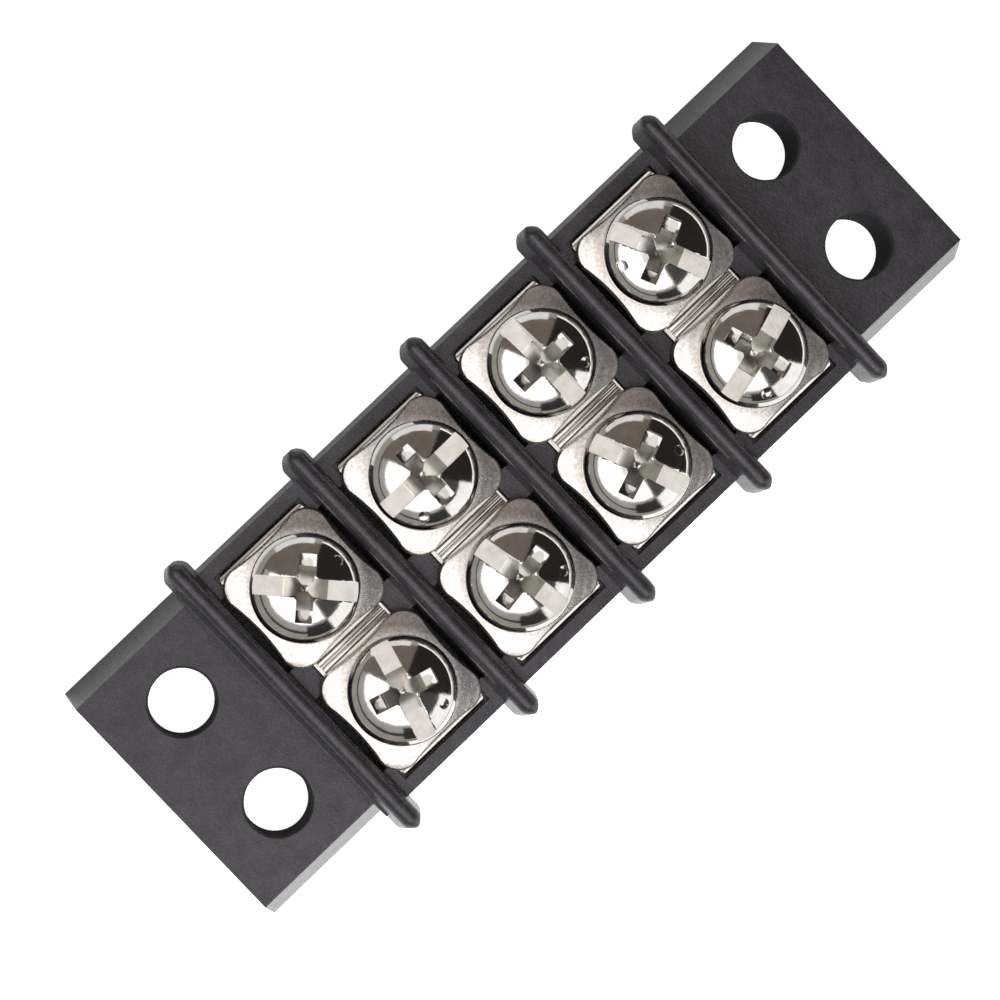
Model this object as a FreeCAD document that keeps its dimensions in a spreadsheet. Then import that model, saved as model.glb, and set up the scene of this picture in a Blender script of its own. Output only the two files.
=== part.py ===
"""Double-row barrier terminal strip: a black moulding with four poles and a screw clamp at each end of a pole.

X runs along the strip, Y across it and Z up. The origin is at the middle of the underside. Lengths are in millimetres.
"""
import FreeCAD
import Part
import Sketcher

import math
import os

from FreeCAD import Vector

SIZES = (
    ("pole_count", 4, "poles side by side"),
    ("pole_pitch", 9.5, "barrier to barrier, centre to centre"),
    ("base_width", 18.2, "width of the underside"),
    ("flange_reach", 9.75, "outer barrier's centre to the end of the flange"),
    ("flange_thickness", 5.0, "height of the flange's upper face"),
    ("flange_lean", 1.05, "how far each side of the flange leans in by its upper face"),
    ("ledge_height", 7.2, "height of the wire ledges"),
    ("ledge_lean", 0.175, "how far each side of the deck leans in by its ledge"),
    ("mount_hole", 4.0, "mounting hole diameter"),
    ("mount_rim", 0.15, "edge break round each mounting hole"),
    ("mount_end_distance", 4.8, "mounting hole centre to the end of the flange"),
    ("mount_spacing", 8.15, "mounting holes across the strip, centre to centre"),
    ("barrier_rise", 2.3, "crest of a barrier above the ledges"),
    ("barrier_crest", 1.25, "barrier thickness where its round crest begins"),
    ("barrier_foot", 1.9, "barrier thickness at its foot"),
    ("tab_drop", 1.2, "underside of the overhanging tabs below the ledges"),
    ("tab_overhang", 1.525, "how far a barrier's tab stands out past the ledge"),
    ("tab_heel", 0.8, "round on the lower outer edge of a tab"),
    ("tab_tip", 0.45, "edge break round the end of a tab"),
    ("well_wall", 1.35, "wall between the screw wells of neighbouring poles"),
    ("well_end_wall", 2.025, "wall between a screw well and the edge of the ledge"),
    ("well_floor", 1.6, "floor under a screw well"),
    ("bridge_width", 2.2, "bridge between the two wells of a pole"),
    ("row_spacing", 8.2, "screw rows, centre to centre"),
    ("plate_side_gap", 0.775, "side of the terminal plate to the wall of the well"),
    ("plate_end_ledge", 0.925, "end of the terminal plate to the edge of the ledge"),
    ("plate_thickness", 0.8, "terminal plate"),
    ("plate_proud", 0.1, "upper face of the plate above the ledges"),
    ("plate_waist", 0.6, "how far the plate is cut in on each side at the bridge"),
    ("plate_waist_length", 2.6, "length of the cut-in part of the plate"),
    ("seat_clearance", 0.12, "gap round the plate in its seat"),
    ("stop_rib_width", 0.32, "each of the two wire-stop ribs"),
    ("stop_rib_offset", 0.22, "wire-stop rib from the middle of the plate"),
    ("stop_rib_height", 0.45, "wire-stop rib above the plate"),
    ("stop_rib_inset", 0.2, "end of a wire-stop rib to the side of the plate"),
    ("thread_diameter", 3.4, "screw shank over its thread"),
    ("tapping_clearance", 0.05, "gap round the thread in the plate"),
    ("neck_relief", 0.3, "how far the plain neck lies inside the thread"),
    ("neck_length", 1.2, "plain neck under the head"),
    ("screw_point", 0.5, "chamfer at the end of the screw"),
    ("screw_end_gap", 0.8, "end of the screw to the floor of its well"),
    ("washer_side_gap", 0.275, "side of the washer to the wall of the well"),
    ("washer_rib_gap", 0.04, "inner side of the washer to the wire-stop rib"),
    ("washer_corner", 1.4, "corner radius of the washer"),
    ("washer_waist", 0.2, "hollow in the middle of each side of the washer"),
    ("washer_thickness", 0.8, "sheet thickness of the washer"),
    ("washer_rise", 0.3, "underside of the washer's middle above the plate"),
    ("washer_flat", 5.4, "diameter of the washer's flat middle"),
    ("washer_bend", 5.0, "bend radius of the washer's upper face towards its corners"),
    ("washer_bore_gap", 0.15, "gap between the neck and the washer"),
    ("head_diameter", 6.5, "screw head, across its rim"),
    ("head_height", 2.2, "top of the crown above the washer"),
    ("head_rim", 0.6, "straight rim at the bottom of the head"),
    ("shoulder_radius", 1.1, "round shoulder between the rim and the crown of the head"),
    ("slot_width", 1.15, "straight driver slot"),
    ("slot_depth", 1.0, "driver slot and cross below the top of the crown"),
    ("cross_width", 1.05, "short arm of the cross"),
    ("cross_span", 4.2, "short arm of the cross, end to end"),
    ("cross_lean", 0.1, "how far each wall of the cross leans in by its floor"),
    ("web_width", 1.75, "square that breaks the inner corners of the cross"),
    ("socket_width", 2.6, "mouth of the tapered socket in the middle"),
    ("socket_tip_width", 0.4, "bottom of the tapered socket"),
    ("socket_depth", 0.9, "tapered socket below the floor of the slot"),
    ("dimple_diameter", 0.65, "round mark on the crown"),
    ("dimple_radius", 2.45, "round mark from the axis of the screw"),
    ("dimple_depth", 0.8, "bottom of the round mark below the top of the crown"),
)

# Directions of the straight slots in degrees, as the screws stand, from the first pole to the last.
SLOT_ANGLES = {"rear": (-48, 180, -89, 114), "front": (-106, -80, -69, -165)}


class Size:
    """A length together with the sheet expression that gives it."""

    def __init__(self, text, value):
        self.text = text
        self.value = float(value)

    def __add__(self, other):
        return Size("(%s + %s)" % (self.text, sheet_text(other)), self.value + number(other))

    def __sub__(self, other):
        return Size("(%s - %s)" % (self.text, sheet_text(other)), self.value - number(other))

    def __mul__(self, other):
        return Size("(%s * %s)" % (self.text, sheet_text(other)), self.value * number(other))

    def __truediv__(self, other):
        return Size("(%s / %s)" % (self.text, sheet_text(other)), self.value / number(other))

    def __neg__(self):
        return self * -1

    def root(self):
        """Square root."""
        return Size("sqrt(%s)" % self.text, math.sqrt(self.value))

    def slope_angle(self):
        """Angle in degrees whose tangent this is."""
        return Size("atan(%s)" % self.text, math.degrees(math.atan(self.value)))


ZERO = Size("0", 0)


def number(item):
    """Plain number of a Size or of a number."""
    return item.value if isinstance(item, Size) else float(item)


def sheet_text(item):
    """Sheet expression of a Size or of a number."""
    return item.text if isinstance(item, Size) else repr(item)


def hypotenuse(a, b):
    """Long side of a right-angled triangle."""
    return (a * a + b * b).root()


def arc_over(run, rise):
    """Radius of an arc that leaves at right angles to the rise and climbs by it over the run."""
    return (run * run + rise * rise) / (rise * 2)


class Strip:
    """Driving dimensions of the strip in a sheet, and the sizes that follow from them."""

    def __init__(self, doc):
        table = doc.addObject("Spreadsheet::Sheet", "sizes")
        for row, (alias, value, meaning) in enumerate(SIZES, start=1):
            table.set("A%d" % row, meaning)
            table.set("B%d" % row, str(value))
            table.setAlias("B%d" % row, alias)
            setattr(self, alias, Size("sizes." + alias, value))

        self.deck_length = self.pole_pitch * self.pole_count + self.barrier_foot
        self.overall_length = self.pole_pitch * self.pole_count + self.flange_reach * 2
        self.first_barrier_x = -(self.pole_pitch * self.pole_count) / 2
        self.first_pole_x = self.first_barrier_x + self.pole_pitch / 2
        self.ledge_width = self.base_width - self.ledge_lean * 2
        self.crest_height = self.ledge_height + self.barrier_rise
        self.tab_height = self.ledge_height - self.tab_drop
        self.barrier_length = self.ledge_width + self.tab_overhang * 2
        self.well_width = self.pole_pitch - self.well_wall
        self.well_length = self.ledge_width / 2 - self.well_end_wall - self.bridge_width / 2

        self.plate_width = self.well_width - self.plate_side_gap * 2
        self.plate_waist_width = self.plate_width - self.plate_waist * 2
        self.plate_length = self.ledge_width - self.plate_end_ledge * 2
        self.plate_top = self.ledge_height + self.plate_proud
        rib_reach = self.stop_rib_offset + self.stop_rib_width / 2

        self.neck_diameter = self.thread_diameter - self.neck_relief * 2
        self.washer_width = self.well_width - self.washer_side_gap * 2
        self.washer_depth = self.row_spacing - (rib_reach + self.washer_rib_gap) * 2
        self.washer_top = self.washer_rise + self.washer_thickness
        self.head_seat = self.plate_top + self.washer_top
        self.screw_length = self.head_seat - self.well_floor - self.screw_end_gap

    def pole_x(self, pole):
        """Middle of a pole, counted from nought."""
        return self.first_pole_x + self.pole_pitch * pole


def bind(item, prop, size):
    """Ties a property of a document object to the sheet."""
    item.setExpression(prop, size.text)


def place(body, x, y, z):
    """Puts a body at its place in the strip."""
    for axis, size in (("x", x), ("y", y), ("z", z)):
        bind(body, "Placement.Base." + axis, size)


def new_body(doc, name):
    """Empty body whose label names its piece."""
    body = doc.addObject("PartDesign::Body", name)
    body.Label = name
    return body


def origin_feature(body, role):
    """Origin plane or axis of a body."""
    return next(feature for feature in body.Origin.OriginFeatures if feature.Role == role)


def new_sketch(body, name, plane, height=None):
    """Sketch on an origin plane of the body, raised along its normal where a height is given."""
    sketch = body.newObject("Sketcher::SketchObject", name)
    sketch.AttachmentSupport = [(origin_feature(body, plane), "")]
    sketch.MapMode = "FlatFace"
    if height is not None:
        bind(sketch, "AttachmentOffset.Base.z", height)
    return sketch


def constrain(sketch, size, kind, *where):
    """Adds a driving constraint and ties it to the sheet."""
    index = sketch.addConstraint(Sketcher.Constraint(kind, *where, size.value))
    bind(sketch, "Constraints[%d]" % index, size)


def pin(sketch, element, end, u, v):
    """Holds a point of a sketch at (u, v) from the sketch's origin."""
    constrain(sketch, u, "DistanceX", -1, 1, element, end)
    constrain(sketch, v, "DistanceY", -1, 1, element, end)


def arc_centre(start, end, radius, turn):
    """Centre of the short arc from start to end that bends to the left (1) or to the right (-1)."""
    chord = end - start
    sideways = Vector(-chord.y, chord.x, 0).normalize()
    return (start + end) / 2 + sideways * math.sqrt(radius ** 2 - (chord.Length / 2) ** 2) * turn


def draw_outline(sketch, corners):
    """Closed outline through corners (u, v), or (u, v, radius, turn) where an arc leads on to the next one."""
    points = [Vector(corner[0].value, corner[1].value, 0) for corner in corners]
    drawn = []
    for corner, start, end in zip(corners, points, points[1:] + points[:1]):
        if len(corner) == 2:
            drawn.append((sketch.addGeometry(Part.LineSegment(start, end), False), 1, 2))
            continue
        radius, turn = corner[2:]
        centre = arc_centre(start, end, radius.value, turn)
        circle = Part.Circle(centre, Vector(0, 0, 1), radius.value)
        # A sketch arc always runs anticlockwise, so one that bends to the right is drawn from its far end.
        first, last = [math.atan2(point.y - centre.y, point.x - centre.x) for point in (start, end)][::turn]
        arc = sketch.addGeometry(Part.ArcOfCircle(circle, first, last), False)
        constrain(sketch, radius, "Radius", arc)
        drawn.append((arc, *(1, 2)[::turn]))
    for corner, (element, first, last), (following, its_first, _) in zip(corners, drawn, drawn[1:] + drawn[:1]):
        sketch.addConstraint(Sketcher.Constraint("Coincident", element, last, following, its_first))
        pin(sketch, element, first, corner[0], corner[1])


def draw_box(sketch, u_middle, v_middle, u_width, v_width):
    """Rectangle about a middle point."""
    left, right = u_middle - u_width / 2, u_middle + u_width / 2
    low, high = v_middle - v_width / 2, v_middle + v_width / 2
    draw_outline(sketch, ((left, low), (right, low), (right, high), (left, high)))


def draw_circle(sketch, u, v, diameter):
    """Circle about a point."""
    circle = Part.Circle(Vector(u.value, v.value, 0), Vector(0, 0, 1), diameter.value / 2)
    element = sketch.addGeometry(circle, False)
    pin(sketch, element, 3, u, v)
    constrain(sketch, diameter, "Diameter", element)


def pad(body, name, sketch, length, symmetric=False):
    """Pad of a sketch, to both sides of it where it is symmetric."""
    feature = body.newObject("PartDesign::Pad", name)
    feature.Profile = sketch
    feature.SideType = "Symmetric" if symmetric else "One side"
    bind(feature, "Length", length)
    return feature


def pocket(body, name, sketch, depth, draft=None):
    """Pocket that cuts down from its sketch and narrows on the way where it has a draft."""
    feature = body.newObject("PartDesign::Pocket", name)
    feature.Profile = sketch
    bind(feature, "Length", depth)
    if draft is not None:
        bind(feature, "TaperAngle", -draft)
    return feature


def turned(body, kind, name, sketch):
    """Revolution or Groove of a sketch about the body's Z axis."""
    feature = body.newObject("PartDesign::" + kind, name)
    feature.Profile = sketch
    feature.ReferenceAxis = (origin_feature(body, "Z_Axis"), [""])
    feature.Angle = 360
    return feature


def repeat_along_x(body, name, original, spacing, count):
    """Copies of one feature along X."""
    body.Document.recompute()
    pattern = body.newObject("PartDesign::LinearPattern", name)
    pattern.Originals = [original]
    pattern.Direction = (origin_feature(body, "X_Axis"), [""])
    pattern.Mode = "Spacing"
    bind(pattern, "Offset", spacing)
    bind(pattern, "Occurrences", count)
    body.Tip = pattern


def break_edges(body, kind, name, base, prop, size, wanted):
    """Fillet or Chamfer on the edges of the base whose ends and middle are wanted."""
    body.Document.recompute()
    names = []
    for index, edge in enumerate(base.Shape.Edges, start=1):
        middle = edge.valueAt((edge.FirstParameter + edge.LastParameter) / 2)
        if wanted([middle] + [vertex.Point for vertex in edge.Vertexes]):
            names.append("Edge%d" % index)
    feature = body.newObject("PartDesign::" + kind, name)
    feature.Base = (base, names)
    bind(feature, prop, size)
    return feature


def same(length, size):
    """True where a length agrees with a size."""
    return abs(length - size.value) < 1e-4


def block_section(base_width, lean, height):
    """Section of a block on the base plane whose two sides lean in."""
    low, high = base_width / 2, base_width / 2 - lean
    return ((-low, ZERO), (low, ZERO), (high, height), (-high, height))


def plate_outline(x, length, width, waist_length, waist_width):
    """Outline of a terminal plate: wide at both ends and cut in at its middle."""
    left, right = x - width / 2, x + width / 2
    waist_left, waist_right = x - waist_width / 2, x + waist_width / 2
    end, waist = length / 2, waist_length / 2
    return ((left, -end), (right, -end), (right, -waist), (waist_right, -waist),
            (waist_right, waist), (right, waist), (right, end), (left, end),
            (left, waist), (waist_left, waist), (waist_left, -waist), (left, -waist))


def make_moulding(doc, s):
    """One black moulding: flanges, deck, barriers with tabs, screw wells, plate seats and mounting holes."""
    body = new_body(doc, "moulded_base")

    flanges = new_sketch(body, "flange_section", "YZ_Plane")
    draw_outline(flanges, block_section(s.base_width, s.flange_lean, s.flange_thickness))
    pad(body, "flanges", flanges, s.overall_length, symmetric=True)

    deck = new_sketch(body, "deck_section", "YZ_Plane")
    draw_outline(deck, block_section(s.base_width, s.ledge_lean, s.ledge_height))
    pad(body, "deck", deck, s.deck_length, symmetric=True)

    barrier = new_sketch(body, "barrier_section", "XZ_Plane")
    x, foot, crest = s.first_barrier_x, s.barrier_foot / 2, s.barrier_crest / 2
    draw_outline(barrier, (
        (x - foot, s.tab_height), (x + foot, s.tab_height),
        (x + crest, s.crest_height - crest, crest, 1), (x, s.crest_height, crest, 1),
        (x - crest, s.crest_height - crest)))
    first_barrier = pad(body, "first_barrier", barrier, s.barrier_length, symmetric=True)
    repeat_along_x(body, "barriers", first_barrier, s.pole_pitch, s.pole_count + 1)

    wells = new_sketch(body, "well_outline", "XY_Plane", s.crest_height)
    for side in (-1, 1):
        middle = (s.bridge_width + s.well_length) / 2 * side
        draw_box(wells, s.first_pole_x, middle, s.well_width, s.well_length)
    first_wells = pocket(body, "first_wells", wells, s.crest_height - s.well_floor)
    repeat_along_x(body, "wells", first_wells, s.pole_pitch, s.pole_count)

    seat = new_sketch(body, "seat_outline", "XY_Plane", s.ledge_height)
    gap = s.seat_clearance * 2
    draw_outline(seat, plate_outline(s.first_pole_x, s.plate_length + gap, s.plate_width + gap,
                                     s.plate_waist_length - gap, s.plate_waist_width + gap))
    first_seat = pocket(body, "first_seat", seat, s.plate_thickness - s.plate_proud)
    repeat_along_x(body, "seats", first_seat, s.pole_pitch, s.pole_count)

    holes = new_sketch(body, "mount_hole_outline", "XY_Plane", s.flange_thickness)
    hole_x = s.overall_length / 2 - s.mount_end_distance
    hole_y = s.mount_spacing / 2
    for along in (-1, 1):
        for across in (-1, 1):
            draw_circle(holes, hole_x * along, hole_y * across, s.mount_hole)
    drilled = pocket(body, "mount_holes", holes, s.flange_thickness)

    def is_rim(points):
        return all(same(math.hypot(abs(p.x) - hole_x.value, abs(p.y) - hole_y.value), s.mount_hole / 2)
                   and (same(p.z, s.flange_thickness) or same(p.z, ZERO)) for p in points)

    def is_heel(points):
        return all(same(abs(p.y), s.barrier_length / 2) and same(p.z, s.tab_height) for p in points)

    def is_tip(points):
        heel_top = s.tab_height.value + s.tab_heel.value
        return (all(same(abs(p.y), s.barrier_length / 2) for p in points)
                and any(p.z > heel_top and not same(p.z, s.tab_height + s.tab_heel) for p in points))

    rims = break_edges(body, "Chamfer", "mount_rims", drilled, "Size", s.mount_rim, is_rim)
    heels = break_edges(body, "Fillet", "tab_heels", rims, "Radius", s.tab_heel, is_heel)
    body.Tip = break_edges(body, "Chamfer", "tab_tips", heels, "Size", s.tab_tip, is_tip)
    return body


def make_plate(doc, s, pole):
    """Nickel-plated terminal plate with two tapped holes and two wire-stop ribs."""
    body = new_body(doc, "terminal_plate_%d" % (pole + 1))

    blank = new_sketch(body, "blank_outline", "XY_Plane")
    draw_outline(blank, plate_outline(ZERO, s.plate_length, s.plate_width, s.plate_waist_length, s.plate_waist_width))
    pad(body, "blank", blank, s.plate_thickness)

    ribs = new_sketch(body, "stop_rib_section", "YZ_Plane")
    half, top = s.stop_rib_width / 2, s.plate_thickness + s.stop_rib_height
    for side in (-1, 1):
        middle = s.stop_rib_offset * side
        draw_outline(ribs, (
            (middle - half, s.plate_thickness / 2), (middle + half, s.plate_thickness / 2),
            (middle + half, top - half, half, 1), (middle, top, half, 1), (middle - half, top - half)))
    pad(body, "stop_ribs", ribs, s.plate_waist_width - s.stop_rib_inset * 2, symmetric=True)

    holes = new_sketch(body, "tapping_outline", "XY_Plane", s.plate_thickness)
    for side in (-1, 1):
        draw_circle(holes, ZERO, s.row_spacing / 2 * side, s.thread_diameter + s.tapping_clearance * 2)
    body.Tip = pocket(body, "tapped_holes", holes, s.plate_thickness)
    place(body, s.pole_x(pole), ZERO, s.plate_top - s.plate_thickness)
    return body


def waisted_rectangle(x, y, corner, waist):
    """Outline from half sizes x and y, with rounded corners and each side a little hollow in the middle."""
    flat_x, flat_y = x - corner, y - corner
    bend_x, bend_y = arc_over(flat_x, waist), arc_over(flat_y, waist)
    return ((-flat_x, -y, bend_x, -1), (flat_x, -y, corner, 1), (x, -flat_y, bend_y, -1), (x, flat_y, corner, 1),
            (flat_x, y, bend_x, -1), (-flat_x, y, corner, 1), (-x, flat_y, bend_y, -1), (-x, -flat_y, corner, 1))


def make_washer(doc, s, name, x, y):
    """Captive square washer, domed so that its corners press on the wire."""
    body = new_body(doc, name)
    half_x, half_y, flat = s.washer_width / 2, s.washer_depth / 2, s.washer_flat / 2

    blank = new_sketch(body, "washer_outline", "XY_Plane")
    draw_outline(blank, waisted_rectangle(half_x, half_y, s.washer_corner, s.washer_waist))
    pad(body, "washer_blank", blank, s.washer_top)

    edge = hypotenuse(half_x - s.washer_corner, half_y - s.washer_corner) + s.washer_corner + s.washer_waist
    run = edge - flat
    drop = s.washer_bend - (s.washer_bend * s.washer_bend - run * run).root()
    above = s.washer_top + s.washer_thickness
    dome = new_sketch(body, "dome_section", "XZ_Plane")
    draw_outline(dome, ((flat, s.washer_top, s.washer_bend, -1), (edge, s.washer_top - drop),
                        (edge, above), (flat, above)))
    turned(body, "Groove", "dome", dome)

    bend = s.washer_bend - s.washer_thickness
    level = bend - s.washer_rise
    reach = (bend * bend - level * level).root()
    hollow = new_sketch(body, "hollow_section", "XZ_Plane")
    draw_outline(hollow, ((ZERO, ZERO), (flat + reach, ZERO, bend, 1), (flat, s.washer_rise), (ZERO, s.washer_rise)))
    turned(body, "Groove", "hollow", hollow)

    bore = new_sketch(body, "washer_bore_outline", "XY_Plane", s.washer_top)
    draw_circle(bore, ZERO, ZERO, s.neck_diameter + s.washer_bore_gap * 2)
    body.Tip = pocket(body, "washer_bore", bore, s.washer_top)
    place(body, x, y, s.plate_top)
    return body


def make_screw(doc, s, name, x, y, slot_angle):
    """Pan-head screw with a straight slot, a cross recess and a small round mark on its crown."""
    body = new_body(doc, name)
    head, neck, thread = s.head_diameter / 2, s.neck_diameter / 2, s.thread_diameter / 2
    inner, rise = head - s.shoulder_radius, s.head_height - s.head_rim
    crown = (inner * inner + rise * rise - s.shoulder_radius * s.shoulder_radius) / ((rise - s.shoulder_radius) * 2)
    spread = crown - s.shoulder_radius
    meet_height = (spread * spread - inner * inner).root() * crown / spread

    section = new_sketch(body, "screw_section", "XZ_Plane")
    draw_outline(section, (
        (ZERO, -s.screw_length), (thread - s.screw_point, -s.screw_length),
        (thread, s.screw_point - s.screw_length), (thread, -s.neck_length),
        (neck, s.neck_relief - s.neck_length), (neck, ZERO), (head, ZERO),
        (head, s.head_rim, s.shoulder_radius, 1),
        (inner * crown / spread, s.head_height - crown + meet_height, crown, 1), (ZERO, s.head_height)))
    turned(body, "Revolution", "turned_blank", section)

    slot = new_sketch(body, "slot_outline", "XY_Plane", s.head_height)
    draw_box(slot, ZERO, ZERO, s.head_diameter + s.slot_width, s.slot_width)
    pocket(body, "slot", slot, s.slot_depth)

    draft = (s.cross_lean / s.slot_depth).slope_angle()
    cross = new_sketch(body, "cross_outline", "XY_Plane", s.head_height)
    draw_box(cross, ZERO, ZERO, s.cross_width, s.cross_span)
    pocket(body, "cross", cross, s.slot_depth, draft)

    web = new_sketch(body, "web_outline", "XY_Plane", s.head_height)
    point = s.web_width * math.sqrt(0.5)
    draw_outline(web, ((point, ZERO), (ZERO, point), (-point, ZERO), (ZERO, -point)))
    pocket(body, "web", web, s.slot_depth, draft)

    socket = new_sketch(body, "socket_outline", "XY_Plane", s.head_height - s.slot_depth)
    draw_box(socket, ZERO, ZERO, s.socket_width, s.socket_width)
    taper = ((s.socket_width - s.socket_tip_width) / 2 / s.socket_depth).slope_angle()
    pocket(body, "socket", socket, s.socket_depth, taper)

    # The socket only shows inside the arms, so the metal under the four quarters of the crown stays.
    quarters = new_sketch(body, "quarter_outline", "XY_Plane", s.head_height - s.slot_depth - s.socket_depth)
    reach = s.socket_width / 2 + s.cross_lean
    near_x, near_y = s.cross_width / 2 - s.cross_lean, s.slot_width / 2
    for side_x in (-1, 1):
        for side_y in (-1, 1):
            draw_box(quarters, (reach + near_x) / 2 * side_x, (reach + near_y) / 2 * side_y,
                     reach - near_x, reach - near_y)
    pad(body, "quarters", quarters, s.socket_depth)

    dimple = new_sketch(body, "dimple_outline", "XY_Plane", s.head_height)
    diagonal = s.dimple_radius * math.sqrt(0.5)
    draw_circle(dimple, diagonal, diagonal, s.dimple_diameter)
    body.Tip = pocket(body, "dimple", dimple, s.dimple_depth)

    body.Placement = FreeCAD.Placement(Vector(), FreeCAD.Rotation(Vector(0, 0, 1), slot_angle))
    place(body, x, y, s.head_seat)
    return body


def make_strip(doc, s):
    """All pieces of the strip."""
    poles = range(int(s.pole_count.value))
    bodies = [make_moulding(doc, s)]
    bodies += [make_plate(doc, s, pole) for pole in poles]
    for row, y in (("rear", s.row_spacing / 2), ("front", -s.row_spacing / 2)):
        angles = SLOT_ANGLES[row]
        for pole in poles:
            name = "%s_%d" % (row, pole + 1)
            bodies.append(make_washer(doc, s, "washer_" + name, s.pole_x(pole), y))
            bodies.append(make_screw(doc, s, "screw_" + name, s.pole_x(pole), y, angles[pole % len(angles)]))
    return bodies


def check(doc, bodies):
    """Stops where an object has failed or a body isn't one sound solid."""
    for item in doc.Objects:
        if "Invalid" in item.State or "Error" in item.State:
            raise RuntimeError("%s has failed" % item.Label)
    for body in bodies:
        if body.Shape.isNull() or not body.Shape.isValid() or len(body.Shape.Solids) != 1:
            raise RuntimeError("%s isn't one sound solid" % body.Label)


def main():
    """Builds the strip and writes one STEP file for each piece."""
    doc = FreeCAD.newDocument("barrier_terminal_strip")
    sizes = Strip(doc)
    doc.recompute()
    bodies = make_strip(doc, sizes)
    doc.recompute()
    check(doc, bodies)
    os.makedirs("parts", exist_ok=True)
    for body in bodies:
        body.Shape.exportStep(os.path.join("parts", body.Label + ".step"))
        print("%-18s %8.2f mm3" % (body.Label, body.Shape.Volume))


main()
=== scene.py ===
"""Looks of the double-row barrier terminal strip.

A black thermoset moulding carries four nickel-plated terminal plates. Each plate has a screw with a domed
square washer at both of its ends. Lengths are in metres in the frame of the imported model: X runs along the
strip, Y across it and Z up.
"""

import logging
import math
from collections.abc import Callable, Iterator, Sequence
from contextlib import contextmanager
from dataclasses import dataclass, field
from enum import Enum

import bpy
import numpy as np
from mathutils import Matrix, Vector


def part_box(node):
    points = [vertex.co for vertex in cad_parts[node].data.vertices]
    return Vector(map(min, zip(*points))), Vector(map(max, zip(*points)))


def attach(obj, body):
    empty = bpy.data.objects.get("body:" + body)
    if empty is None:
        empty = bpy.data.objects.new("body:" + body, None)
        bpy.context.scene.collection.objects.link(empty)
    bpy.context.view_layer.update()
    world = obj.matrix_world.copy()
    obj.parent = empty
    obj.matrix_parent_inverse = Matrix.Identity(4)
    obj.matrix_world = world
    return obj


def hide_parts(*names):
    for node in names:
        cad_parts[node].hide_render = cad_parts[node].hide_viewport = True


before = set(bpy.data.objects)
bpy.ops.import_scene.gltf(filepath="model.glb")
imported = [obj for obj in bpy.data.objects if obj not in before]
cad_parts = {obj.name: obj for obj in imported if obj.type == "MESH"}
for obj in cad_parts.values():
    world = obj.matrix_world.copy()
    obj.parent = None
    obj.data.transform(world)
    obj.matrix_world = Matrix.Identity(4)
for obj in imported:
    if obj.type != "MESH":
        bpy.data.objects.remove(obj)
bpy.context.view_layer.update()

log = logging.getLogger("terminal_strip")

MM = 0.001
POLES = 4


class Row(Enum):
    """The two rows of screws."""

    REAR = "rear"
    FRONT = "front"


class Pick(Enum):
    """What an edit picks: corners, edges or faces of a mesh."""

    CORNERS = "VERT"
    EDGES = "EDGE"
    FACES = "FACE"


# Modelling moves


def rest_selection() -> None:
    """Leaves edit mode and deselects every object."""
    active = bpy.context.view_layer.objects.active
    if active is not None and active.mode != "OBJECT":
        bpy.ops.object.mode_set(mode="OBJECT")
    bpy.ops.object.select_all(action="DESELECT")


def take(piece: bpy.types.Object) -> None:
    """Makes a piece the active one and the only one that is selected.

    Args:
        piece: The object to work on.
    """
    rest_selection()
    piece.select_set(True)
    bpy.context.view_layer.objects.active = piece


@contextmanager
def editing(piece: bpy.types.Object, pick: Pick = Pick.FACES) -> Iterator[None]:
    """Opens a piece in edit mode, and closes it again.

    Args:
        piece: The object to edit.
        pick: What the edit picks.
    """
    take(piece)
    bpy.context.tool_settings.mesh_select_mode = [pick is kind for kind in Pick]
    bpy.ops.object.mode_set(mode="EDIT")
    yield
    bpy.ops.object.mode_set(mode="OBJECT")


def pick_faces(piece: bpy.types.Object, wanted: Callable[[bpy.types.MeshPolygon], bool]) -> int:
    """Selects the faces of a piece that are wanted, and nothing else.

    Args:
        piece: The object, in object mode.
        wanted: Says whether a face is picked.

    Returns:
        How many faces were picked.
    """
    mesh = piece.data
    mesh.vertices.foreach_set("select", [False] * len(mesh.vertices))
    mesh.edges.foreach_set("select", [False] * len(mesh.edges))
    picked = [wanted(face) for face in mesh.polygons]
    mesh.polygons.foreach_set("select", picked)
    return sum(picked)


def finish_with(piece: bpy.types.Object, kind: str, **settings: object) -> None:
    """Adds a modifier to a piece and applies it.

    Args:
        piece: The object to finish.
        kind: The modifier's type.
        settings: The modifier's settings by name.
    """
    take(piece)
    bpy.ops.object.modifier_add(type=kind)
    modifier = piece.modifiers[-1]
    for name, value in settings.items():
        setattr(modifier, name, value)
    bpy.ops.object.modifier_apply(modifier=modifier.name)


def smooth(piece: bpy.types.Object, angle: float = 30.0) -> None:
    """Shades a piece smooth, apart from its edges sharper than an angle, and keeps its large faces flat.

    Args:
        piece: The object to shade.
        angle: The angle in degrees.
    """
    take(piece)
    bpy.ops.object.shade_smooth_by_angle(angle=math.radians(angle))
    finish_with(piece, "WEIGHTED_NORMAL", keep_sharp=True)


def settle(piece: bpy.types.Object) -> None:
    """Puts the place, turn and scale of a piece into its mesh.

    Args:
        piece: The object, which sits at the origin afterwards.
    """
    take(piece)
    bpy.ops.object.transform_apply(location=True, rotation=True, scale=True)


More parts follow.
